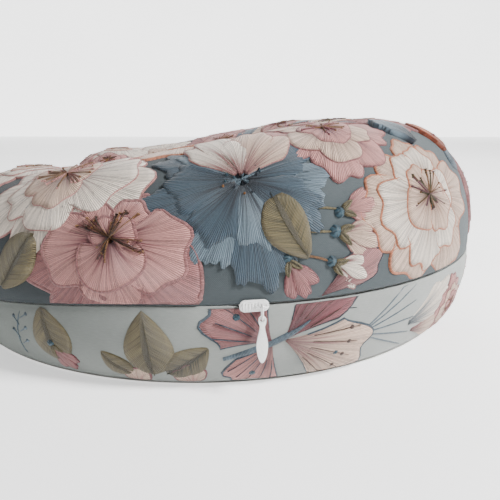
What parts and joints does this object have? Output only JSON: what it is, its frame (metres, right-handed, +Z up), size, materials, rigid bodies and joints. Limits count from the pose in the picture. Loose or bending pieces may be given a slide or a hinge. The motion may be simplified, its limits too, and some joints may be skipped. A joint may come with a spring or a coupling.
{
  "type": "nursing pillow",
  "caption": "C-shaped nursing pillow with a domed top, a side band and a zipped removable cover; the slider runs round the outer seam and its pull swings.",
  "frame": {"origin": "middle of the bounding box, on the surface the pillow lies on", "axes": "+Z up; +X towards the closed end (bridge), the opening faces -X; the zip slider rests on the -Y arm"},
  "size_m": [0.4452, 0.493, 0.162],
  "materials": {
    "printed_top_fabric": "embroidered cotton, slate grey ground",
    "printed_band_fabric": "embroidered cotton, pale grey ground",
    "plain_base_fabric": "plain woven cotton",
    "casing_fabric": "plain undyed cotton",
    "fibre": "loose polyester fibre",
    "zip_tape": "woven tape",
    "zip_coil": "nylon",
    "white_enamel": "white gloss coating"
  },
  "bodies": {
    "pillow": {"cover_top_panel": "printed_top_fabric", "cover_bottom_panel": "plain_base_fabric", "cover_outer_band": "printed_band_fabric", "cover_inner_band": "printed_band_fabric", "casing_top": "casing_fabric", "casing_bottom": "casing_fabric", "fibre_fill": "fibre", "zip_tape_upper": "zip_tape", "zip_tape_lower": "zip_tape", "zip_coil_upper": "zip_coil", "zip_coil_lower": "zip_coil", "zip_stop_start_upper": "zip_coil", "zip_stop_start_lower": "zip_coil", "zip_stop_end": "zip_coil"},
    "slider": {"slider_body": "white_enamel"},
    "link": {"pull_link": "white_enamel"},
    "tab": {"pull_tab": "white_enamel"}
  },
  "joints": [
    {"name": "zip_travel", "type": "hinge", "parent": "pillow", "child": "slider", "pos_m": [-0.02303, 0.00096, 0.059], "axis": [0, 0, 1], "range_deg": [0, 158]},
    {"name": "link_lift", "type": "hinge", "parent": "slider", "child": "link", "pos_m": [0.02901, -0.24421, 0.059], "axis": [-0.9816, -0.1908, 0], "range_deg": [-4, 160]},
    {"name": "tab_swing", "type": "hinge", "parent": "link", "child": "tab", "pos_m": [0.02901, -0.24421, 0.0514], "axis": [0.1908, -0.9816, 0], "range_deg": [-50, 50]}
  ]
}
